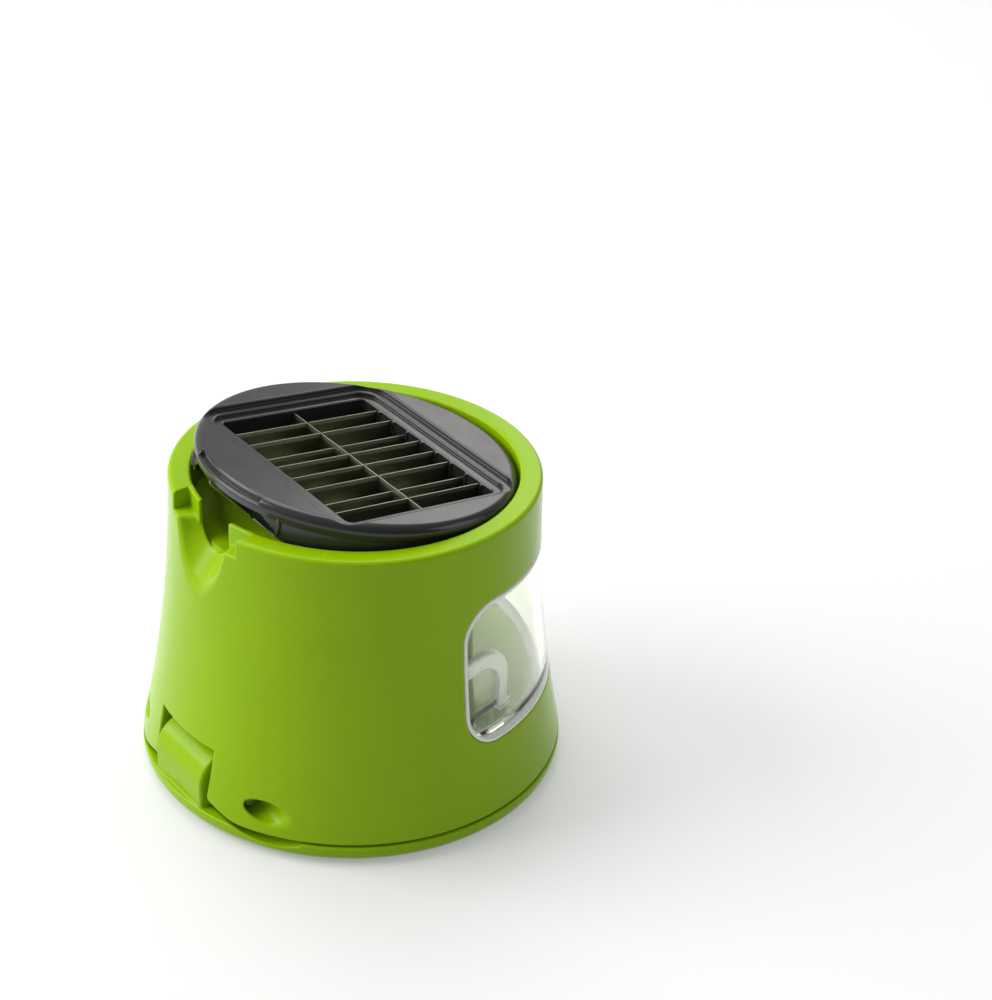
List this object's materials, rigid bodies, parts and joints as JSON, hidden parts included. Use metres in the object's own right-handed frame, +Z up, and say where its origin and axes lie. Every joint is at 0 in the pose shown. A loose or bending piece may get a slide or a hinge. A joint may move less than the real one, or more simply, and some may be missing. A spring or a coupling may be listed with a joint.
{
  "type": "hand dicer base unit",
  "caption": "Round flared hand dicer base: lift-out blade grid in a finger-scooped rim, clear catch container behind a side window, hinged base cover with foot ring.",
  "frame": {"origin": "centre of the foot ring's lower face, on the surface the dicer stands on", "axes": "+Z up through the case, +Y towards the hinge and finger scoop at the back, -Y towards the window, +X to the left seen from the back"},
  "size_m": [0.0798, 0.0798, 0.0662],
  "materials": {
    "lime_case": "gloss",
    "lime_cover": "gloss",
    "clear_plastic": "clear, polished",
    "dark_grey_plastic": "satin gloss",
    "blade_steel": "ground",
    "pin_steel": "turned",
    "foot_rubber": "matt"
  },
  "bodies": {
    "case": {"body_shell": "lime_case", "hinge_pin": "pin_steel"},
    "cover": {"base_cover": "lime_cover", "foot_ring": "foot_rubber"},
    "container": {"clear_container": "clear_plastic"},
    "insert": {"insert_frame": "dark_grey_plastic", "blade_retainer": "dark_grey_plastic", "cross_blade": "blade_steel", "long_blade_1": "blade_steel", "long_blade_2": "blade_steel", "long_blade_3": "blade_steel", "long_blade_4": "blade_steel", "long_blade_5": "blade_steel", "long_blade_6": "blade_steel", "long_blade_7": "blade_steel", "long_blade_8": "blade_steel"}
  },
  "joints": [
    {"name": "cover_hinge", "type": "hinge", "parent": "case", "child": "cover", "pos_m": [0, 0.033, 0.0085], "axis": [1, 0, 0], "range_deg": [0, 95]},
    {"name": "container_slide", "type": "slide", "parent": "case", "child": "container", "axis": [0, -1, 0], "range_m": [0, 0.075]},
    {"name": "insert_tilt", "type": "hinge", "parent": "case", "child": "insert", "pos_m": [-0.00751, -0.02801, 0.0584], "axis": [0.9659, -0.2588, 0], "range_deg": [-7.9, 37]}
  ]
}
